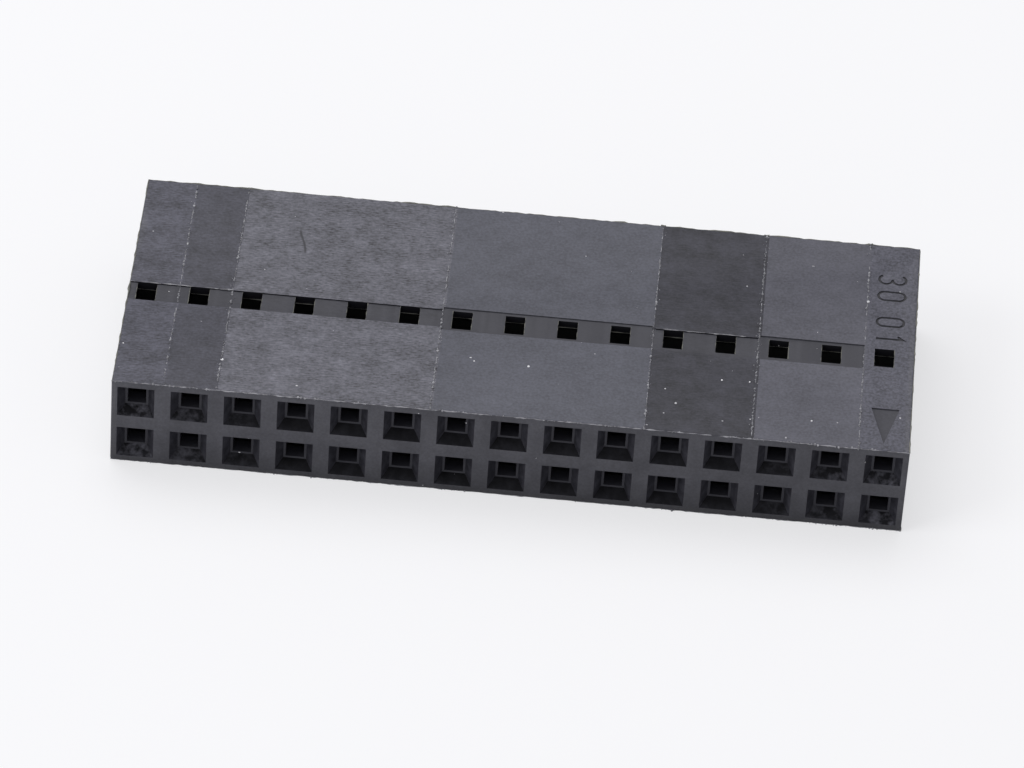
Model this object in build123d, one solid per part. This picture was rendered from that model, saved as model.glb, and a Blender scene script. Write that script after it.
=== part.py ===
from build123d import *
import os

# Two-row receptacle housing for crimped contacts: one black moulding, fifteen cavities in each row.
#
# Frame: the origin is the centre of the base, +X runs along the rows towards circuit 1,
# -Y is the mating face where the pins enter, +Y is the wire side and +Z is up.
# The upper row and the lower row are the same cavity, turned half a turn about the Y axis.
# Lengths are millimetres. "From the mating face" means measured towards +Y.

# Grid of cavities
PITCH = 2.54                # column to column
ROW_PITCH = 2.54            # row to row
COLUMNS = 15                # cavities in each row

# Body
DEPTH = 15.0                # mating face to wire face
END_WALL = 0.235            # wall beside the last cavity at each end, at the wire side
OUTER_WALL = 0.40           # wall above and below the cavities, at the wire side
EDGE_RADIUS = 0.10          # moulded radius on the outer edges

# Pin entry
MOUTH_WIDTH = 1.77          # funnel at the mating face, across
MOUTH_HEIGHT = 1.79         # funnel at the mating face, upwards
FUNNEL_DEPTH = 0.53         # mating face to the floor of the funnel
PIN_HOLE = 0.88             # square hole for a 0.64 square pin
FUNNEL_LEDGE = 0.11         # flat ring of floor around the pin hole
FRONT_WALL = 1.30           # mating face to the contact chamber

# Contact chamber, measured from the cavity axis
CHAMBER_WIDTH = 1.80
CHAMBER_OUTWARD = 0.80      # axis to the chamber wall nearest the outside
CHAMBER_INWARD = 1.00       # axis to the chamber wall nearest the other row
BARREL_START = 9.20         # from the mating face, where the chamber widens for the wire crimp
BARREL_SIDE_STEP = 0.04     # how far the widened part steps out on each side
BARREL_OUTWARD_STEP = 0.05
BARREL_INWARD_STEP = 0.02
ENTRY_CHAMFER = 0.10        # lead-in around each wire entry

# Windows where a contact's locking tang catches
WINDOW_START = 6.01         # from the mating face
WINDOW_LENGTH = 1.28
WINDOW_WIDTH = 0.96
WINDOW_MARGIN = 0.124       # chamber side wall, the one away from circuit 1, to the window

# Shallow band that joins the windows of a row, in stretches that start at the end away from circuit 1.
# Each gives its number of columns, and how far it reaches in front of the windows and behind them.
# The column left over at circuit 1 has no band.
BAND_DEPTH = 0.06
BAND_STRETCHES = ((6, 0.0, 0.0), (4, 0.19, 0.17), (2, 0.24, 0.0), (2, 0.24, 0.19))

# Circuit 1 arrow
ARROW_WIDTH = 1.34
ARROW_TIP = 0.50            # from the mating face
ARROW_BASE = 3.00           # from the mating face
ARROW_RECESS = 0.06

# Plain numbers, engraved behind the circuit 1 window: the count of cavities and the circuit number
DIGIT_HEIGHT = 1.30
DIGIT_WIDTH = 0.62
STROKE = 0.13
ENGRAVING = 0.05
DIGIT_PLACES = (0.33, 0.49, 0.74, 0.90)     # shares of the way from the wire face to the window
MARK_SHIFT = 0.10           # cavity axis to the middle of the arrow and the numbers, away from the end

OVERCUT = 0.5               # how far a cutter runs past a face that it opens

BARREL_WIDTH = CHAMBER_WIDTH + 2 * BARREL_SIDE_STEP
BARREL_OUTWARD = CHAMBER_OUTWARD + BARREL_OUTWARD_STEP
BARREL_INWARD = CHAMBER_INWARD + BARREL_INWARD_STEP
OUTER_MARGIN = BARREL_OUTWARD + OUTER_WALL          # cavity axis to the nearest outer face
LENGTH = (COLUMNS - 1) * PITCH + BARREL_WIDTH + 2 * END_WALL
HEIGHT = ROW_PITCH + 2 * OUTER_MARGIN
MATING_FACE = -DEPTH / 2
MIDDLE = HEIGHT / 2                                 # height of the plane between the rows
MARK_X = (COLUMNS - 1) / 2 * PITCH - MARK_SHIFT     # middle of the marks at circuit 1


def section(start, stop, width, inward, outward):
    """A straight length of cavity from start to stop, both from the mating face."""
    block = Box(width, stop - start, inward + outward)
    return Pos(0, (start + stop) / 2, (outward - inward) / 2) * block


def taper(start, start_size, stop, stop_size, rise=0.0):
    """A four-sided taper along Y between two rectangles (width, height), both centred at rise."""
    across = Plane(origin=(0, 0, rise), x_dir=(1, 0, 0), z_dir=(0, 1, 0))
    first = across.offset(start) * Rectangle(*start_size)
    last = across.offset(stop) * Rectangle(*stop_size)
    return loft([first, last])


def pin_entry():
    """Funnel, its flat floor and the square pin hole through the front wall."""
    floor = PIN_HOLE + 2 * FUNNEL_LEDGE
    funnel = taper(0, (MOUTH_WIDTH, MOUTH_HEIGHT), FUNNEL_DEPTH, (floor, floor))
    hole = section(0, FRONT_WALL, PIN_HOLE, PIN_HOLE / 2, PIN_HOLE / 2)
    return funnel + hole


def wire_entry():
    """Chamfered mouth of the cavity at the wire face."""
    height = BARREL_INWARD + BARREL_OUTWARD
    rise = (BARREL_OUTWARD - BARREL_INWARD) / 2
    narrow = (BARREL_WIDTH, height)
    wide = (BARREL_WIDTH + 2 * ENTRY_CHAMFER, height + 2 * ENTRY_CHAMFER)
    return taper(DEPTH - ENTRY_CHAMFER, narrow, DEPTH, wide, rise)


def window():
    """Opening from the chamber out through the outer wall."""
    through = section(WINDOW_START, WINDOW_START + WINDOW_LENGTH, WINDOW_WIDTH, 0, OUTER_MARGIN + OVERCUT)
    shift = WINDOW_MARGIN + WINDOW_WIDTH / 2 - CHAMBER_WIDTH / 2
    return Pos(shift, 0, 0) * through


def cavity():
    """One cavity of the upper row, with its axis on Y and the mating face at zero."""
    chamber = section(FRONT_WALL, DEPTH, CHAMBER_WIDTH, CHAMBER_INWARD, CHAMBER_OUTWARD)
    barrel = section(BARREL_START, DEPTH, BARREL_WIDTH, BARREL_INWARD, BARREL_OUTWARD)
    return pin_entry() + chamber + barrel + wire_entry() + window()


def band():
    """Stretches of the recess along the windows of the upper row, open at the far end from circuit 1."""
    stretches = []
    left = -LENGTH / 2 - OVERCUT
    covered = 0
    for columns, front_margin, back_margin in BAND_STRETCHES:
        covered += columns
        right = (covered - COLUMNS / 2) * PITCH
        front = WINDOW_START - front_margin
        back = WINDOW_START + WINDOW_LENGTH + back_margin
        strip = section(front, back, right - left, BAND_DEPTH, OVERCUT)
        stretches.append(Pos((left + right) / 2, MATING_FACE, OUTER_MARGIN) * strip)
        left = right
    return stretches


def upper_row():
    """Every cavity of the upper row with its band; the row's axes lie in the plane z = 0."""
    columns = [(i - (COLUMNS - 1) / 2) * PITCH for i in range(COLUMNS)]
    single = cavity()
    return [Pos(x, MATING_FACE, 0) * single for x in columns] + band()


def both_rows():
    """Cutters for the upper row and, turned half a turn about Y, for the lower row."""
    row = upper_row()
    up = Pos(0, 0, MIDDLE + ROW_PITCH / 2)
    down = Pos(0, 0, MIDDLE - ROW_PITCH / 2) * Rot(0, 180, 0)
    return [up * cutter for cutter in row] + [down * cutter for cutter in row]


def on_top(from_mating_face, depth):
    """Place on the top face at circuit 1, sunk by depth, with a number's top towards +X."""
    return Pos(MARK_X, MATING_FACE + from_mating_face, HEIGHT - depth) * Rot(0, 0, -90)


def arrow():
    """Triangular recess whose tip points at the mating face."""
    side = ARROW_WIDTH / 2
    outline = Polyline((-side, ARROW_BASE), (0, ARROW_TIP), (side, ARROW_BASE), close=True)
    place = Pos(MARK_X, MATING_FACE, HEIGHT - ARROW_RECESS)
    return place * extrude(make_face(outline), ARROW_RECESS + OVERCUT)


def one():
    """Strokes of the number 1."""
    top = DIGIT_HEIGHT / 2
    return [Polyline((-DIGIT_WIDTH / 3, top * 0.6), (0, top), (0, -top))]


def zero():
    """Strokes of the number 0: one loop, with two straight sides and two round ends."""
    side = DIGIT_WIDTH / 2
    straight = DIGIT_HEIGHT / 2 - side
    left = Line((-side, -straight), (-side, straight))
    top = ThreePointArc((-side, straight), (0, straight + side), (side, straight))
    right = Line((side, straight), (side, -straight))
    bottom = ThreePointArc((side, -straight), (0, -straight - side), (-side, -straight))
    return [left + top + right + bottom]


def three():
    """Strokes of the number 3: two bows, each two thirds of a circle, that meet at its waist."""
    bow = DIGIT_HEIGHT / 4
    upper = CenterArc((0, bow), bow, 150, -240)
    lower = CenterArc((0, -bow), bow, 90, -240)
    return [upper, lower]


def engraved(strokes, from_mating_face):
    """A number cut into the top face with strokes of even width."""
    place = on_top(from_mating_face, ENGRAVING)
    return [place * extrude(trace(stroke, STROKE), ENGRAVING + OVERCUT) for stroke in strokes]


def numbers():
    """The count of cavities, 30, and then the circuit number, 01."""
    room = DEPTH - WINDOW_START - WINDOW_LENGTH
    cutters = []
    for share, strokes in zip(DIGIT_PLACES, (three(), zero(), zero(), one())):
        cutters += engraved(strokes, DEPTH - share * room)
    return cutters


def housing():
    """The whole moulding."""
    block = Pos(0, 0, MIDDLE) * Box(LENGTH, DEPTH, HEIGHT)
    body = fillet(block.edges(), EDGE_RADIUS)
    return body - both_rows() - arrow() - numbers()


os.makedirs("parts", exist_ok=True)
export_step(housing(), "parts/housing.step")
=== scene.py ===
"""The looks of a two-row receptacle housing: a small black moulding on a white table.

The moulding is a merged copy of the CAD solid with fine rounded edges. Over it lie the traces of its
tool: fins and beads of flash where the tool's inserts meet, burrs along its lips, and a little dust.
Pale ridges along the band's back edge and the windows' edges are painted highlights.
"""
import math

import bmesh
import bpy
from mathutils import Matrix, Vector


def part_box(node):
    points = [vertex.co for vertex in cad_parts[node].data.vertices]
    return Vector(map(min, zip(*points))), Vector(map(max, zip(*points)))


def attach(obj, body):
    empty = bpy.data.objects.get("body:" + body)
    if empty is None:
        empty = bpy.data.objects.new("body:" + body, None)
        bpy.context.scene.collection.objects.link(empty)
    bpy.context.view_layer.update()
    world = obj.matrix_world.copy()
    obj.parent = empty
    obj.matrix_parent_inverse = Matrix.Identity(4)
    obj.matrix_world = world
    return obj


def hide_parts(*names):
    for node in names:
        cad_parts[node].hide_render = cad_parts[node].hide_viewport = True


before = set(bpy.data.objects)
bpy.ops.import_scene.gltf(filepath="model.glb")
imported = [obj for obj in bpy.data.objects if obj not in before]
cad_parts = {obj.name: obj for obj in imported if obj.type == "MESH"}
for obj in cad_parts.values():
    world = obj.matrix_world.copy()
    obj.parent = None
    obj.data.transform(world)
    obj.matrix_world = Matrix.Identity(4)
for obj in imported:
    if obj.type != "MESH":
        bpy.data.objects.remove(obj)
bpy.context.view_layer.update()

MM = 0.001
LOW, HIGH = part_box("housing")
CENTRE = (LOW + HIGH) / 2
HEIGHT = HIGH.z - LOW.z

# The grid, the cavities and the recesses, as the moulding has them
PITCH = 2.54 * MM
COLUMNS = 15
FUNNEL_DEPTH = 0.53 * MM
RECESS = 0.06 * MM                # band and arrow; nothing else sunk in a long face is deeper
ENGRAVING = 0.05 * MM             # numbers
OUTER_WALL = 0.45 * MM            # over the contact chambers
WINDOW_FRONT = LOW.y + 6.01 * MM
WINDOW_BACK = LOW.y + 7.29 * MM
WINDOW_LEFT = -0.776 * MM         # from the middle of the column
WINDOW_RIGHT = 0.184 * MM

# Two tool inserts meet after these columns from the -X end. Each has how far the band there reaches
# in front of the windows and behind them, in millimetres.
SEAMS = {1: (0.0, 0.0), 2: (0.0, 0.0), 6: (0.0, 0.0),
         10: (0.19, 0.0), 12: (0.24, 0.0), 14: (0.24, 0.19)}

EDGE_ROUND = 0.018 * MM           # radius that a moulded edge keeps
EDGE_STEPS = 2
SHARP_EDGE = math.radians(28)
WELD = 0.0005 * MM                # points nearer than this are one
FLAT_EDGE = math.radians(0.5)     # an edge flatter than this is dropped
SQUARE = (0.6, 0.85)              # cosines from which a face looks along an axis in part, and wholly
FAR = 9.0                         # millimetres; no rim is near

# Viewpoint
AZIMUTH = 1.816                   # degrees
ELEVATION = 41.5
ROLL = 3.994
DISTANCE = 340 * MM
AIM = Vector((-0.279, 0.544, 0.0)) * MM
LENS = 245.96                     # millimetres on a 36 mm sensor

# Kinds of node that come up often
MATH = "ShaderNodeMath"
VECTOR = "ShaderNodeVectorMath"
RANGE = "ShaderNodeMapRange"
MIX = "ShaderNodeMix"
GLOSS = "ShaderNodeBsdfPrincipled"
RANDOM = "FunctionNodeRandomValue"


def linear(colour):
    """An sRGB hex colour as linear red, green, blue and alpha."""
    parts = [int(colour[i:i + 2], 16) / 255 for i in (1, 3, 5)]
    return [c / 12.92 if c <= 0.04045 else ((c + 0.055) / 1.055) ** 2.4 for c in parts] + [1.0]


def add(tree, kind, inputs=(), **settings):
    """Adds a node with its settings and links.

    inputs is a list, or a dict by a socket's name or number. It holds values, outputs, or whole nodes,
    which stand for their first output in use.
    """
    node = tree.nodes.new(kind)
    for name, value in settings.items():
        setattr(node, name, value)
    for key, value in inputs.items() if isinstance(inputs, dict) else enumerate(inputs):
        if isinstance(value, bpy.types.Node):
            value = next(output for output in value.outputs if output.enabled)
        if isinstance(value, bpy.types.NodeSocket):
            tree.links.new(value, node.inputs[key])
        else:
            node.inputs[key].default_value = value
    return node


def seam_x(column):
    """Where the insert seam after that column crosses the X axis."""
    return (column - COLUMNS / 2) * PITCH


def column_x(column):
    """The middle of a column; columns count from 1 at the -X end."""
    return (column - (COLUMNS + 1) / 2) * PITCH


# ---------------------------------------------------------------------------------------------------
# Materials
# ---------------------------------------------------------------------------------------------------

def new_material(name):
    """A material with an empty node tree, and its output."""
    material = bpy.data.materials.new(name)
    material.use_nodes = True
    material.node_tree.nodes.clear()
    return material, material.node_tree, add(material.node_tree, "ShaderNodeOutputMaterial")


def whereabouts(tree):
    """The place on a piece, in millimetres."""
    coordinates = add(tree, "ShaderNodeTexCoord").outputs
    return add(tree, VECTOR, {0: coordinates["Object"], "Scale": 1 / MM}, operation="SCALE")


def squareness(tree):
    """How squarely a face looks along X, along Y and along Z: from 0, edge on, to 1."""
    coordinates = add(tree, "ShaderNodeTexCoord").outputs
    looks = add(tree, VECTOR, [coordinates["Normal"]], operation="ABSOLUTE")
    return add(tree, "ShaderNodeSeparateXYZ", [looks]).outputs


def patches(tree, place, lengths, detail, roughness=0.5, shift=0.0):
    """Noise about zero whose features have these lengths in millimetres along X, Y and Z."""
    grid = add(tree, "ShaderNodeMapping",
               {"Vector": place, "Location": [shift] * 3, "Scale": [1 / n for n in lengths]})
    noise = add(tree, "ShaderNodeTexNoise",
                {"Vector": grid, "Scale": 1.0, "Detail": detail, "Roughness": roughness})
    return add(tree, MATH, [noise, 0.5], operation="SUBTRACT")


def by_insert(tree, x, values):
    """One value for each tool insert from the -X end: a colour ramp that steps at the seams."""
    along = add(tree, RANGE, [x, LOW.x / MM, HIGH.x / MM])
    ramp = add(tree, "ShaderNodeValToRGB", [along])
    ramp.color_ramp.interpolation = "CONSTANT"
    stops = ramp.color_ramp.elements
    starts = [0.0] + [(seam_x(column) - LOW.x) / (HIGH.x - LOW.x) for column in SEAMS]
    stops[1].position = starts[1]
    for start in starts[2:]:
        stops.new(start)
    for stop, value in zip(stops, values):
        stop.color = value
    return ramp


def ground_polyester():
    """The outside: black glass-filled polyester, injection moulded against ground tool steel.

    It took the grain of its inserts, each a little different, so it is a matt charcoal with fine
    streaks along the rows, lighter or darker from one insert to the next. Its rims are paler: partly
    wear, and partly a painted highlight where the rounded edges catch the light.
    """
    material, tree, output = new_material("glass_filled_polyester_ground")
    place, looks = whereabouts(tree), squareness(tree)
    x, y, z = add(tree, "ShaderNodeSeparateXYZ", [place]).outputs

    # Where a point lies: on a long face or not, on the floor of a recess, how far from each face
    long_face = add(tree, RANGE, [looks[2], *SQUARE])
    from_top = add(tree, MATH, [HEIGHT / MM, z], operation="SUBTRACT")
    from_wire = add(tree, MATH, [HIGH.y / MM, y], operation="SUBTRACT")
    from_middle = add(tree, MATH, [x], operation="ABSOLUTE")
    from_end = add(tree, MATH, [HIGH.x / MM, from_middle], operation="SUBTRACT")
    from_long_face = add(tree, MATH, [z, from_top], operation="MINIMUM")
    sunk = add(tree, RANGE, [from_long_face, 0.025, 0.035])
    sunk = add(tree, MATH, [sunk, long_face], operation="MULTIPLY")

    # Grinding streaks along the rows: about 0.3 mm long and 0.08 mm wide
    streak = patches(tree, place, (0.34, 0.08, 0.08), 3, 0.6)
    # Mottling from uneven filling: patches of 1 mm with smaller ones in them
    mottle = patches(tree, place, (1.3, 1.0, 1.0), 4, 0.65)
    # Grain of the glass filler, which is 0.01 mm: drawn as coarse as it needs to show, 0.13 mm
    grain = patches(tree, place, (0.13, 0.13, 0.13), 2, 0.6)
    # Broad shading over each insert, 4 mm
    broad = patches(tree, place, (4.0, 4.0, 4.0), 1, shift=7.0)

    # A rim is paler over its last 0.45 mm, more in some places than in others: partly rubbed, partly a
    # painted highlight where the rounded edge catches the light. The face that looks the way a distance
    # is measured counts as far from it.
    rim = FAR
    for distance, look in zip((from_end, from_wire, z), looks):
        apart = add(tree, MATH, [look, FAR, distance], operation="MULTIPLY_ADD")
        rim = add(tree, MATH, [rim, apart], operation="MINIMUM")
    near_rim = add(tree, RANGE, [rim, 0.45, 0.0])
    uneven = add(tree, RANGE, [mottle, -0.2, 0.15, 0.3, 1.0])
    rubbed_and_highlight = add(tree, MATH, [near_rim, uneven], operation="MULTIPLY")

    # Each insert left its own tone on the long faces, and its own streaks, mottling and grain
    tones = ("#4a4a54", "#41414a", "#5b5b63", "#50515a", "#32323a", "#52525b", "#4f4f59")
    marks = ((1.5, 1.6, 1.1), (0.8, 1.3, 1.2), (1.6, 1.5, 1.1), (0.3, 0.6, 0.9), (1.0, 1.9, 1.1),
             (0.3, 0.6, 0.9), (0.4, 0.7, 1.9))
    tone = by_insert(tree, x, [linear(t) for t in tones])
    mark = by_insert(tree, x, [(*m, 1.0) for m in marks])
    mark = add(tree, "ShaderNodeSeparateColor", [mark]).outputs
    lift = 1.0
    for noise, amount, strength in zip((streak, mottle, grain), mark, (1.5, 1.1, 1.0)):
        weight = add(tree, MATH, [amount, strength], operation="MULTIPLY")
        lift = add(tree, MATH, [noise, weight, lift], operation="MULTIPLY_ADD")
    lift = add(tree, MATH, [broad, 0.35, lift], operation="MULTIPLY_ADD")
    # The pale rims, rubbed and painted highlight, are strongest towards the wire face
    rim_lift = add(tree, RANGE, [from_wire, 0.5, 0.0, 0.4, 0.9])
    lift = add(tree, MATH, [rubbed_and_highlight, rim_lift, lift], operation="MULTIPLY_ADD")

    # Recess floors come off the inserts' spark-eroded faces: one darker tone in stripes of 0.5 mm, with
    # little of the marks. The numbers are darker again: painted shade in their narrow strokes.
    plainer = add(tree, MATH, [sunk, 0.7], operation="MULTIPLY")
    lift = add(tree, MIX, {0: plainer, 6: lift, 7: (1.0, 1.0, 1.0, 1.0)}, data_type="RGBA")
    stripe = add(tree, RANGE, [patches(tree, place, (0.5, 8.0, 8.0), 1), -0.1, 0.1])
    floor = add(tree, MIX, {0: stripe, 6: linear("#35353c"), 7: linear("#3b3b42")}, data_type="RGBA")
    tone = add(tree, MIX, {0: sunk, 6: tone, 7: floor}, data_type="RGBA")
    # Painted shade in the engraved numbers' strokes
    number = add(tree, MATH, [from_top, ENGRAVING / MM, 0.005], operation="COMPARE")
    number = add(tree, MATH, [number, sunk], operation="MULTIPLY")
    tone = add(tree, MIX, {0: number, 6: tone, 7: linear("#29292e")}, data_type="RGBA")

    # The other faces: mottled over 1.6 mm, with painted shade darker towards the table, and darker
    # towards circuit 1
    cloud = add(tree, RANGE, [patches(tree, place, (1.6, 1.6, 1.6), 2), -0.1, 0.1])
    plain = add(tree, MIX, {0: cloud, 6: linear("#414147"), 7: linear("#49494f")}, data_type="RGBA")
    # Painted shade: darker towards the table
    low = add(tree, RANGE, [z, 0.0, 1.8, 0.66, 1.0])
    plain = add(tree, VECTOR, {0: plain, "Scale": low}, operation="SCALE")
    towards_one = add(tree, RANGE, [x, -10.0, 14.0, 1.0, 0.86])
    plain = add(tree, VECTOR, {0: plain, "Scale": towards_one}, operation="SCALE")
    tone = add(tree, MIX, {0: long_face, 6: plain, 7: tone}, data_type="RGBA")
    # On the other faces the pale rims, rubbed and painted highlight, fade towards the table
    rim_lift = add(tree, RANGE, [z, 0.0, 1.0, 0.05, 0.4])
    plain_lift = add(tree, MATH, [rubbed_and_highlight, rim_lift, 1.0], operation="MULTIPLY_ADD")
    plain_lift = add(tree, MATH, [grain, 0.7, plain_lift], operation="MULTIPLY_ADD")
    plain_lift = add(tree, MATH, [mottle, 0.5, plain_lift], operation="MULTIPLY_ADD")
    lift = add(tree, MIX, {0: long_face, 6: plain_lift, 7: lift}, data_type="RGBA")

    # Pale rims, partly rubbed and partly painted highlight, lean to olive
    colour = add(tree, VECTOR, [tone, lift], operation="MULTIPLY")
    colour = add(tree, MIX, {0: rubbed_and_highlight, 6: colour, 7: linear("#fffdea")}, data_type="RGBA",
                 blend_type="MULTIPLY")

    # A hair-fine scratch behind the fourth window, 1.8 mm long with a slight S to it
    along = add(tree, RANGE, [y, 2.95, 4.75])
    bow = add(tree, MATH, [add(tree, MATH, [along, 5.2], operation="MULTIPLY")], operation="SINE")
    slant = add(tree, MATH, [along, -0.34, -10.80], operation="MULTIPLY_ADD")
    line = add(tree, MATH, [bow, 0.05, slant], operation="MULTIPLY_ADD")
    aside = add(tree, MATH, [add(tree, MATH, [x, line], operation="SUBTRACT")], operation="ABSOLUTE")
    scratch = add(tree, RANGE, [aside, 0.09, 0.01])
    limits = ((along, 0.0, 0.12), (along, 1.0, 0.9), (z, HEIGHT / MM / 2, HEIGHT / MM / 2 + 1))
    for value, nothing, full in limits:
        within = add(tree, RANGE, [value, nothing, full])
        scratch = add(tree, MATH, [scratch, within], operation="MULTIPLY")
    colour = add(tree, MIX, {0: scratch, 6: colour, 7: linear("#303035")}, data_type="RGBA")

    # Streaks and grain stand 0.02 mm proud at most
    relief = add(tree, MATH, [grain, 0.6], operation="MULTIPLY")
    relief = add(tree, MATH, [streak, mark[0], relief], operation="MULTIPLY_ADD")
    relief = add(tree, MATH, [relief, long_face], operation="MULTIPLY")
    bump = add(tree, "ShaderNodeBump", {"Strength": 0.4, "Distance": 0.02 * MM, "Height": relief})
    shader = add(tree, GLOSS, {"Base Color": colour, "Roughness": 0.58, "IOR": 1.55,
                               "Specular IOR Level": 0.4, "Normal": bump})
    tree.links.new(shader.outputs[0], output.inputs[0])
    return material


def polished_polyester():
    """The cavities: the same black polyester, moulded against polished core pins.

    It is darker and smoother than the outside. The slopes above and below each pin hole are the most
    polished, and dry patches of mould release lie on the slopes near both ends of the housing.
    """
    material, tree, output = new_material("glass_filled_polyester_polished")
    place, looks = whereabouts(tree), squareness(tree)
    x, y = add(tree, "ShaderNodeSeparateXYZ", [place]).outputs[:2]
    funnel_floor = FUNNEL_DEPTH / MM
    upright, level = (add(tree, RANGE, [looks[axis], *SQUARE]) for axis in (1, 2))
    from_mating = add(tree, MATH, [y, LOW.y / MM], operation="SUBTRACT")
    in_funnel = add(tree, RANGE, [from_mating, funnel_floor + 0.005, funnel_floor - 0.005])
    at_floor = add(tree, MATH, [from_mating, funnel_floor, 0.02], operation="COMPARE")
    ledge = add(tree, MATH, [at_floor, upright], operation="MULTIPLY")
    slope = add(tree, MATH, [in_funnel, level], operation="MULTIPLY")

    # Blotches of 0.4 mm where the melt front met
    blotch = add(tree, RANGE, [patches(tree, place, (0.45, 0.45, 0.45), 3, 0.6), -0.1, 0.2])
    wall = add(tree, MIX, {0: blotch, 6: linear("#28282d"), 7: linear("#3a3a40")}, data_type="RGBA")
    steep = add(tree, MIX, {0: blotch, 6: linear("#0a0a0c"), 7: linear("#141417")}, data_type="RGBA")
    # Mould release: cloudy over 0.5 mm, and thicker over the last columns at each end
    from_middle = add(tree, MATH, [x], operation="ABSOLUTE")
    towards_end = add(tree, RANGE, [from_middle, 11.0, 18.5])
    cloud = add(tree, RANGE, [patches(tree, place, (0.5, 0.5, 0.5), 3, 0.65, shift=3.0), -0.08, 0.16])
    cloud = add(tree, MATH, [cloud, towards_end], operation="MULTIPLY")
    steep = add(tree, MIX, {0: cloud, 6: steep, 7: linear("#62626a")}, data_type="RGBA")
    # Behind the funnel it turns darker from 4 to 5 mm in, short of the windows
    deep = add(tree, RANGE, [from_mating, 4.0, 5.0])
    inner = add(tree, MIX, {0: deep, 6: linear("#36363c"), 7: linear("#1e1e22")}, data_type="RGBA")
    wall = add(tree, MIX, {0: in_funnel, 6: inner, 7: wall}, data_type="RGBA")
    colour = add(tree, MIX, {0: slope, 6: wall, 7: steep}, data_type="RGBA")
    colour = add(tree, MIX, {0: ledge, 6: colour, 7: linear("#424247")}, data_type="RGBA")
    shader = add(tree, GLOSS, {"Base Color": colour, "Roughness": 0.38, "IOR": 1.55,
                               "Specular IOR Level": 0.07})
    tree.links.new(shader.outputs[0], output.inputs[0])
    return material


def patchy(name, size, detail, roughness, spread, colours, gloss_roughness, ior):
    """A material whose colour wanders between two: patches of size millimetres, spread about zero."""
    material, tree, output = new_material(name)
    place = whereabouts(tree)
    patch = add(tree, RANGE, [patches(tree, place, (size, size, size), detail, roughness), *spread])
    colour = add(tree, MIX, {0: patch, 6: linear(colours[0]), 7: linear(colours[1])}, data_type="RGBA")
    shader = add(tree, GLOSS, {"Base Color": colour, "Roughness": gloss_roughness, "IOR": ior})
    tree.links.new(shader.outputs[0], output.inputs[0])
    return material


def thin_flash_and_highlight():
    """Flash of the same polyester, squeezed thin: it whitens under stress, every 0.3 mm or so. It also
    paints the highlight just behind the band.
    """
    return patchy("stress_whitened_flash_and_highlight", 0.3, 2, 0.5, (-0.15, 0.2), ("#5c5c61", "#b0b0b5"), 0.5, 1.55)


def rubbed_burr_and_highlight():
    """Burrs of the polyester, rubbed soft: a little paler and more olive, in patches of 0.5 mm. The same
    pale ridges paint the highlights on the windows' edges.
    """
    return patchy("rubbed_polyester_burr_and_highlight", 0.5, 3, 0.6, (-0.15, 0.2), ("#50504c", "#7c7c74"), 0.6, 1.55)


def lint():
    """Packing dust: dry white specks, brighter than the moulding, and greyer every 3 mm or so."""
    return patchy("packing_dust", 3, 1, 0.5, (-0.1, 0.1), ("#b4b4b8", "#f6f6f8"), 0.9, 1.45)


# ---------------------------------------------------------------------------------------------------
# Geometry trees
# ---------------------------------------------------------------------------------------------------

def new_growth(name, sizes):
    """A geometry tree with named sizes. Returns it and the outputs of its input node."""
    tree = bpy.data.node_groups.new(name, "GeometryNodeTree")
    tree.is_modifier = True
    tree.interface.new_socket("Geometry", in_out="INPUT", socket_type="NodeSocketGeometry")
    tree.interface.new_socket("Geometry", in_out="OUTPUT", socket_type="NodeSocketGeometry")
    for size in sizes:
        kind = "NodeSocketInt" if size == "Seed" else "NodeSocketFloat"
        tree.interface.new_socket(size, in_out="INPUT", socket_type=kind)
    return tree, add(tree, "NodeGroupInput").outputs


def finish_growth(tree, geometry, material):
    """Ends a geometry tree: shaded smooth, instances made real, in that material."""
    smooth = add(tree, "GeometryNodeSetShadeSmooth", [geometry])
    real = add(tree, "GeometryNodeRealizeInstances", [smooth])
    dressed = add(tree, "GeometryNodeSetMaterial", {"Geometry": real, "Material": material})
    add(tree, "NodeGroupOutput", [dressed])
    return tree


def waves(tree, start, length, detail):
    """Noise from 0 to 1 over the place, with features of that length, moved aside by the seed."""
    place = add(tree, "GeometryNodeInputPosition")
    shift = add(tree, MATH, [start["Seed"], 0.1], operation="MULTIPLY")
    moved = add(tree, VECTOR, [place, shift])
    scale = add(tree, MATH, [1.0, length], operation="DIVIDE")
    return add(tree, "ShaderNodeTexNoise", {"Vector": moved, "Scale": scale, "Detail": detail})


def jittered(tree, start, geometry, reach):
    """Every point moved by up to reach each way."""
    back = add(tree, MATH, [reach, -1.0], operation="MULTIPLY")
    shift = add(tree, RANDOM, {0: back, 1: reach, "Seed": start["Seed"]}, data_type="FLOAT_VECTOR")
    return add(tree, "GeometryNodeSetPosition", {"Geometry": geometry, "Offset": shift})


def grains(tree, start, points, rotation, stretch, seed_step):
    """A rounded grain at each point: few are large, and each is up to stretch times as long as wide."""
    radius = 1.12          # twenty faces as full as the ball that they stand for
    rarity = 3.0           # the higher, the fewer are large
    smallest = 0.45        # of the bead size; the largest is 1 more
    grain = add(tree, "GeometryNodeMeshIcoSphere", {"Radius": radius, "Subdivisions": 1})
    seed = add(tree, MATH, [start["Seed"], seed_step])
    chance = add(tree, RANDOM, {2: 0.0, 3: 1.0, "Seed": seed}, data_type="FLOAT")
    rare = add(tree, MATH, [chance, rarity], operation="POWER")
    share = add(tree, MATH, [rare, smallest])
    width = add(tree, MATH, [share, start["Bead"]], operation="MULTIPLY")
    longer = add(tree, RANDOM, {2: 1.0, 3: stretch, "Seed": add(tree, MATH, [seed, 1.0])},
                 data_type="FLOAT")
    length = add(tree, MATH, [width, longer], operation="MULTIPLY")
    scale = add(tree, "ShaderNodeCombineXYZ", [length, width, width])
    return add(tree, "GeometryNodeInstanceOnPoints",
               {"Points": points, "Instance": grain, "Rotation": rotation, "Scale": scale})


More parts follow.
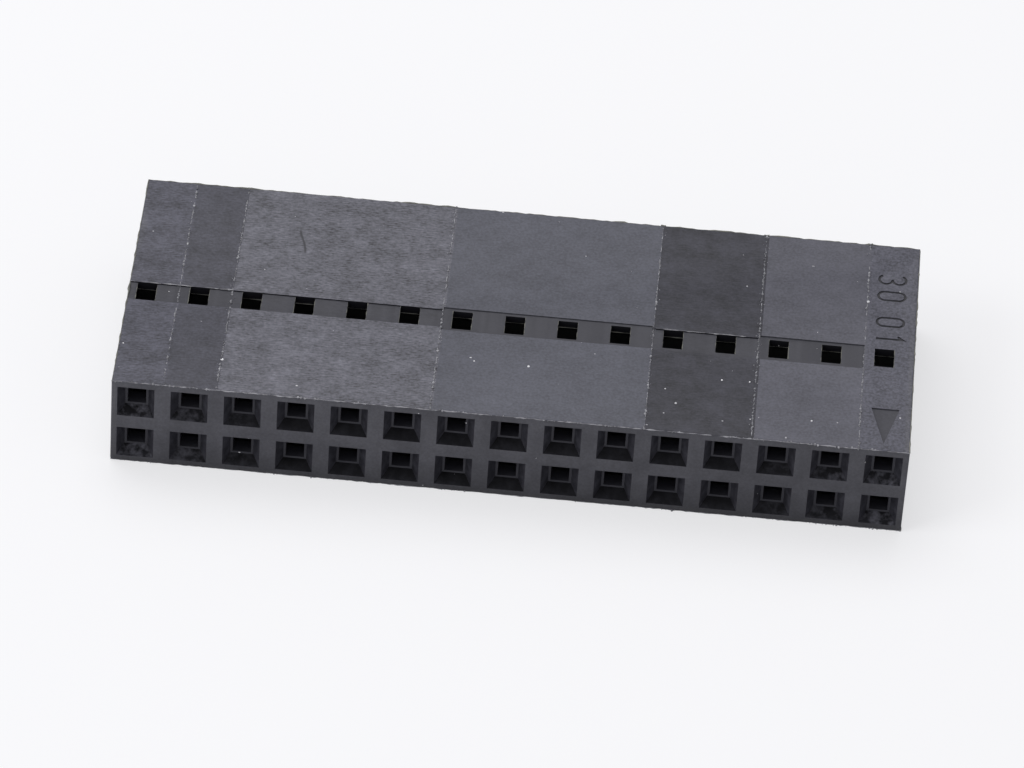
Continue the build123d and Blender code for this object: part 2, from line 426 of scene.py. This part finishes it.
def ridge_tree(material):
    """A low ragged ridge along every line: a tube whose thickness comes and goes, sunk so that only its
    thicker stretches show above the surface that it lies in."""
    tree, start = new_growth("ragged_ridge", ("Thickness", "Ripple", "Wander", "Seed"))
    apart = 0.35           # length between two points, in ripples
    low, high = 0.42, 0.70     # noise where the tube is thinnest, and where it has its whole thickness
    thinnest = 0.15
    curve = add(tree, "GeometryNodeMeshToCurve", [start["Geometry"]])
    step = add(tree, MATH, [start["Ripple"], apart], operation="MULTIPLY")
    stepped = add(tree, "GeometryNodeResampleCurve", {"Curve": curve, "Length": step}, mode="LENGTH")
    wavering = jittered(tree, start, stepped, start["Wander"])
    swell = add(tree, RANGE, [waves(tree, start, start["Ripple"], 3.0), low, high, thinnest, 1.0])
    thickness = add(tree, MATH, [swell, start["Thickness"]], operation="MULTIPLY")
    section = add(tree, "GeometryNodeCurvePrimitiveCircle", {"Resolution": 6, "Radius": 1.0})
    tube = add(tree, "GeometryNodeCurveToMesh",
               {"Curve": wavering, "Profile Curve": section, "Scale": thickness, "Fill Caps": True})
    return finish_growth(tree, tube, material)


def bead_tree(material):
    """Rounded beads strung along every line, in clusters with gaps between them."""
    sizes = ("Spacing", "Bead", "Scatter", "Cluster", "Bare", "Seed")
    tree, start = new_growth("strung_beads", sizes)
    curve = add(tree, "GeometryNodeMeshToCurve", [start["Geometry"]])
    strung = add(tree, "GeometryNodeCurveToPoints", {"Curve": curve, "Length": start["Spacing"]},
                 mode="LENGTH")
    scattered = jittered(tree, start, strung, start["Scatter"])
    clusters = waves(tree, start, start["Cluster"], 2.0)
    bare = add(tree, "FunctionNodeCompare", [clusters, start["Bare"]], data_type="FLOAT",
               operation="LESS_THAN")
    kept = add(tree, "GeometryNodeDeleteGeometry", [scattered, bare], domain="POINT")
    beads = grains(tree, start, kept, strung.outputs["Rotation"], 1.0, 11.0)
    return finish_growth(tree, beads, material)


def dust_tree(material):
    """Specks thrown at random over a surface, half sunk in it."""
    tree, start = new_growth("thrown_dust", ("Density", "Bead", "Seed"))
    thrown = add(tree, "GeometryNodeDistributePointsOnFaces",
                 {"Mesh": start["Geometry"], "Density": start["Density"], "Seed": start["Seed"]})
    specks = grains(tree, start, thrown, thrown.outputs["Rotation"], 2.2, 23.0)
    return finish_growth(tree, specks, material)


# ---------------------------------------------------------------------------------------------------
# Pieces
# ---------------------------------------------------------------------------------------------------

def mesh_object(name, mesh):
    """A mesh as an object in the scene, at the origin."""
    piece = bpy.data.objects.new(name, mesh)
    bpy.context.scene.collection.objects.link(piece)
    return piece


def work_in(piece):
    """Works a piece's modifiers into its mesh."""
    graph = bpy.context.evaluated_depsgraph_get()
    mesh = bpy.data.meshes.new_from_object(piece.evaluated_get(graph), depsgraph=graph)
    piece.modifiers.clear()
    piece.data = mesh


def grown(name, mesh, tree, **sizes):
    """Adds what a geometry tree grows on a mesh, as a piece of the housing."""
    piece = mesh_object(name, mesh)
    grow = piece.modifiers.new("grow", "NODES")
    grow.node_group = tree
    for item in tree.interface.items_tree:
        if item.in_out == "INPUT" and item.name in sizes:
            grow[item.identifier] = sizes[item.name]
    work_in(piece)
    piece.data.name = name
    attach(piece, "root")


def lines(name, paths):
    """Polylines as one mesh of bare edges."""
    points, edges = [], []
    for path in paths:
        edges += [(len(points) + i, len(points) + i + 1) for i in range(len(path) - 1)]
        points += path
    mesh = bpy.data.meshes.new(name)
    mesh.from_pydata(points, edges, [])
    return mesh


def both_faces(paths):
    """The paths on the top face and their copies on the base, turned half a turn about the Y axis."""
    return paths + [[(-x, y, HEIGHT - z) for x, y, z in path] for path in paths]


def moulding(outside, inside):
    """The moulding itself: the CAD solid's surface, merged, with its sharp edges finely rounded."""
    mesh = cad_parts["housing"].data.copy()
    work = bmesh.new()
    work.from_mesh(mesh)
    bmesh.ops.remove_doubles(work, verts=work.verts, dist=WELD)
    bmesh.ops.dissolve_limit(work, angle_limit=FLAT_EDGE, verts=work.verts, edges=work.edges)
    work.to_mesh(mesh)
    work.free()
    mesh.materials.clear()
    mesh.materials.append(outside)
    mesh.materials.append(inside)
    for polygon in mesh.polygons:
        polygon.use_smooth = True
        polygon.material_index = 0
    piece = mesh_object("housing_moulding", mesh)
    round_edges = piece.modifiers.new("round_edges", "BEVEL")
    round_edges.width = EDGE_ROUND
    round_edges.segments = EDGE_STEPS
    round_edges.limit_method = "ANGLE"
    round_edges.angle_limit = SHARP_EDGE
    round_edges.harden_normals = True
    work_in(piece)
    piece.data.name = "housing_moulding"
    # What lies deeper than the recesses is cavity wall, and was moulded on polished core pins
    deepest_mark = 1.5 * RECESS
    for polygon in piece.data.polygons:
        place = polygon.center
        depth = min(place.x - LOW.x, HIGH.x - place.x, place.y - LOW.y, HIGH.y - place.y,
                    place.z - LOW.z, HIGH.z - place.z)
        polygon.material_index = 1 if depth > deepest_mark else 0
    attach(piece, "root")
    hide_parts("housing")


def seam_path(column, sunk):
    """The line of a seam over the top face, sunk by that much, from the wire face to the mating face.

    It dips through the band. It stops short of both faces by half the radius of the block's edges.
    """
    in_front, behind = SEAMS[column]
    x = seam_x(column)
    short = 0.05 * MM
    dip = 0.01 * MM        # over which the line goes down into the band
    back = WINDOW_BACK + behind * MM
    front = WINDOW_FRONT - in_front * MM
    top = HEIGHT - sunk
    floor = top - RECESS
    return [(x, HIGH.y - short, top), (x, back, top), (x, back - dip, floor),
            (x, front + dip, floor), (x, front, top), (x, LOW.y + short, top)]


def seam_flash(ridges, beads):
    """Flash along the seams between the tool's inserts: a fin, beads on it, finer crumbs beside it."""
    sunk = 0.012 * MM
    fins = both_faces([seam_path(column, sunk) for column in SEAMS])
    grown("seam_fins", lines("seam_fins", fins), ridges,
          Thickness=0.030 * MM, Ripple=0.32 * MM, Wander=0.018 * MM, Seed=3)
    strings = both_faces([seam_path(column, 0.0) for column in SEAMS])
    grown("seam_beads", lines("seam_beads", strings), beads,
          Spacing=0.10 * MM, Bead=0.045 * MM, Scatter=0.022 * MM, Cluster=0.9 * MM, Bare=0.46,
          Seed=5)
    grown("seam_crumbs", lines("seam_crumbs", strings), beads,
          Spacing=0.09 * MM, Bead=0.020 * MM, Scatter=0.16 * MM, Cluster=1.2 * MM, Bare=0.50,
          Seed=8)


def lip_burrs(ridges, beads, soft_ridges_and_highlights):
    """Burrs along the block's outer edges: whitened on the mating edge, rubbed soft on the others."""
    inset = 0.03 * MM
    left, right = LOW.x + inset, HIGH.x - inset
    front, back = LOW.y + inset, HIGH.y - inset
    top = HEIGHT - inset
    mating_edge = both_faces([[(left, front, top), (right, front, top)]])
    grown("mating_edge_burr", lines("mating_edge_burr", mating_edge), ridges,
          Thickness=0.042 * MM, Ripple=0.45 * MM, Wander=0.012 * MM, Seed=12)
    grown("mating_edge_beads", lines("mating_edge_beads", mating_edge), beads,
          Spacing=0.16 * MM, Bead=0.040 * MM, Scatter=0.030 * MM, Cluster=1.6 * MM, Bare=0.50,
          Seed=14)
    rims = both_faces([[(left, front, top), (left, back, top), (right, back, top),
                        (right, front, top)]])
    grown("rim_burr", lines("rim_burr", rims), soft_ridges_and_highlights,
          Thickness=0.075 * MM, Ripple=0.6 * MM, Wander=0.010 * MM, Seed=21)
    # Each seam ends in a nub on the wire edge
    reach = 0.12 * MM
    nubs = both_faces([[(seam_x(column) - reach, back, top), (seam_x(column) + reach, back, top)]
                       for column in SEAMS])
    grown("seam_end_nubs", lines("seam_end_nubs", nubs), soft_ridges_and_highlights,
          Thickness=0.115 * MM, Ripple=0.16 * MM, Wander=0.020 * MM, Seed=31)


def window_edge_highlights(soft_ridges_and_highlights):
    """Thin pale ridges along both sides of each window, and on the edge where a contact's tang catches:
    painted highlights where these edges catch the light.

    The last column has no band, so its window opens in the face itself.
    """
    sunk = 0.008 * MM
    floor = HEIGHT - RECESS
    sides, tangs = [], []
    for column in range(1, COLUMNS + 1):
        level = (floor if column < COLUMNS else HEIGHT) - sunk
        left, right = (column_x(column) + edge for edge in (WINDOW_LEFT, WINDOW_RIGHT))
        sides += [[(x, WINDOW_FRONT, level), (x, WINDOW_BACK, level)] for x in (left, right)]
        under = HEIGHT - OUTER_WALL
        tangs.append([(left, WINDOW_BACK, under), (right, WINDOW_BACK, under)])
    grown("window_side_highlight_ridge", lines("window_side_highlight_ridge", both_faces(sides)), soft_ridges_and_highlights,
          Thickness=0.030 * MM, Ripple=0.35 * MM, Wander=0.006 * MM, Seed=41)
    grown("tang_edge_highlight_ridge", lines("tang_edge_highlight_ridge", both_faces(tangs)), soft_ridges_and_highlights,
          Thickness=0.034 * MM, Ripple=0.8 * MM, Wander=0.004 * MM, Seed=44)


def band_edge_highlight(ridges):
    """A pale ridge just behind the band, at the -X end and past the tenth column: a painted highlight
    where the band's back wall catches the light.
    """
    sunk = 0.010 * MM
    behind = WINDOW_BACK + 0.02 * MM
    short = 0.6 * MM       # of the seam after the twelfth column
    level = HEIGHT - sunk
    stretches = [(LOW.x, seam_x(2)), (seam_x(10), seam_x(12) - short)]
    edges = both_faces([[(start, behind, level), (stop, behind, level)]
                        for start, stop in stretches])
    grown("band_edge_highlight_ridge", lines("band_edge_highlight_ridge", edges), ridges,
          Thickness=0.050 * MM, Ripple=0.6 * MM, Wander=0.008 * MM, Seed=53)


def dust(material):
    """Specks of packing dust: a fine scatter over the moulding, and the few that catch the eye."""
    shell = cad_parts["housing"].data.copy()
    grown("dust_specks", shell, dust_tree(material), Density=60000.0, Bead=0.022 * MM, Seed=61)
    # The larger specks: X and Y from the middle of the top face, and radius, in millimetres
    places = [
        (-13.93, -5.28, 0.075), (16.56, 3.17, 0.080), (7.73, -5.46, 0.060), (0.59, -3.79, 0.062),
        (9.82, -3.51, 0.050), (-2.02, -3.75, 0.042), (-18.72, -4.75, 0.042), (14.22, -5.84, 0.050),
        (15.44, -5.80, 0.036), (7.17, -4.49, 0.042), (7.20, -6.23, 0.042), (-12.60, 1.52, 0.036),
        (10.66, 3.51, 0.040), (18.40, -5.07, 0.042), (-16.51, 5.78, 0.055), (-16.50, 2.90, 0.045),
        (11.15, -3.46, 0.040), (13.06, -7.20, 0.050), (3.67, -2.45, 0.032), (-18.26, 3.61, 0.036)]
    squash = Matrix.Diagonal((1.0, 1.0, 0.7, 1.0))
    work = bmesh.new()
    for x, y, radius in places:
        place = Matrix.Translation(Vector((x, y, 0)) * MM + Vector((0, 0, HEIGHT)))
        bmesh.ops.create_icosphere(work, subdivisions=2, radius=radius * MM, matrix=place @ squash)
    mesh = bpy.data.meshes.new("dust_grains")
    work.to_mesh(mesh)
    work.free()
    mesh.materials.append(material)
    for polygon in mesh.polygons:
        polygon.use_smooth = True
    piece = mesh_object("dust_grains", mesh)
    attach(piece, "root")


# ---------------------------------------------------------------------------------------------------
# Studio
# ---------------------------------------------------------------------------------------------------

def softbox(name, place, width, height, power):
    """A soft rectangular lamp that looks at the middle of the housing."""
    data = bpy.data.lights.new(name, "AREA")
    data.shape = "RECTANGLE"
    data.size = width
    data.size_y = height
    data.energy = power
    lamp = bpy.data.objects.new(name, data)
    lamp.location = place
    lamp.rotation_euler = (CENTRE - lamp.location).to_track_quat("-Z", "Y").to_euler()
    bpy.context.scene.collection.objects.link(lamp)


def studio():
    """A white table in a white room, with a large softbox above and behind, a smaller one at the left."""
    size = 3.0
    gap = 0.02 * MM        # the burrs under the block keep it off the table
    mesh = bpy.data.meshes.new("table")
    corners = [(-size, -size, -gap), (size, -size, -gap), (size, size, -gap), (-size, size, -gap)]
    mesh.from_pydata(corners, [], [(0, 1, 2, 3)])
    table = mesh_object("table", mesh)
    material, tree, output = new_material("white_laminate_table")
    lit = add(tree, "ShaderNodeBsdfDiffuse", {"Color": linear("#f2f2f5")})
    glow = add(tree, "ShaderNodeEmission", {"Color": linear("#fdfdfe"), "Strength": 1.0})
    rays = add(tree, "ShaderNodeLightPath").outputs
    # The camera sees the table mostly as a glow, which keeps its white even and its shadows pale
    seen = add(tree, MATH, [rays["Is Camera Ray"], 0.60], operation="MULTIPLY")
    mixed = add(tree, "ShaderNodeMixShader", [seen, lit, glow])
    tree.links.new(mixed.outputs[0], output.inputs[0])
    mesh.materials.append(material)

    world = bpy.data.worlds.new("white_room")
    world.use_nodes = True
    tree = world.node_tree
    tree.nodes.clear()
    room = add(tree, "ShaderNodeBackground", {"Color": linear("#fbfbff"), "Strength": 0.52})
    backdrop = add(tree, "ShaderNodeBackground", {"Color": linear("#fdfdfe"), "Strength": 1.0})
    rays = add(tree, "ShaderNodeLightPath").outputs
    mixed = add(tree, "ShaderNodeMixShader", [rays["Is Camera Ray"], room, backdrop])
    output = add(tree, "ShaderNodeOutputWorld")
    tree.links.new(mixed.outputs[0], output.inputs[0])
    bpy.context.scene.world = world

    softbox("softbox_behind", (-0.10, 0.20, 0.42), 0.45, 0.35, 1.0)
    softbox("softbox_left", (-0.36, -0.16, 0.30), 0.24, 0.24, 0.75)


def camera():
    """The viewpoint: from the front and above, with the housing turned a little in the picture."""
    azimuth, elevation, roll = (math.radians(a) for a in (AZIMUTH, ELEVATION, ROLL))
    right = Vector((math.cos(azimuth), math.sin(azimuth), 0))
    ahead = Vector((-math.sin(azimuth) * math.cos(elevation),
                    math.cos(azimuth) * math.cos(elevation), -math.sin(elevation)))
    up = right.cross(ahead)
    turned_right = right * math.cos(roll) + up * math.sin(roll)
    turned_up = up * math.cos(roll) - right * math.sin(roll)
    data = bpy.data.cameras.new("camera")
    data.lens = LENS
    data.sensor_width = 36.0
    data.clip_start = 0.01
    data.clip_end = 20.0
    view = bpy.data.objects.new("camera", data)
    turn = Matrix((turned_right, turned_up, -ahead)).transposed()
    view.matrix_world = Matrix.Translation(AIM - ahead * DISTANCE) @ turn.to_4x4()
    bpy.context.scene.collection.objects.link(view)
    bpy.context.scene.camera = view


bpy.context.scene.view_settings.view_transform = "Standard"
studio()
camera()
moulding(ground_polyester(), polished_polyester())

flash = thin_flash_and_highlight()
flash_and_highlight_ridges = ridge_tree(flash)
flash_beads = bead_tree(flash)
seam_flash(flash_and_highlight_ridges, flash_beads)
soft_ridges_and_highlights = ridge_tree(rubbed_burr_and_highlight())
lip_burrs(flash_and_highlight_ridges, flash_beads, soft_ridges_and_highlights)
window_edge_highlights(soft_ridges_and_highlights)
band_edge_highlight(flash_and_highlight_ridges)
dust(lint())
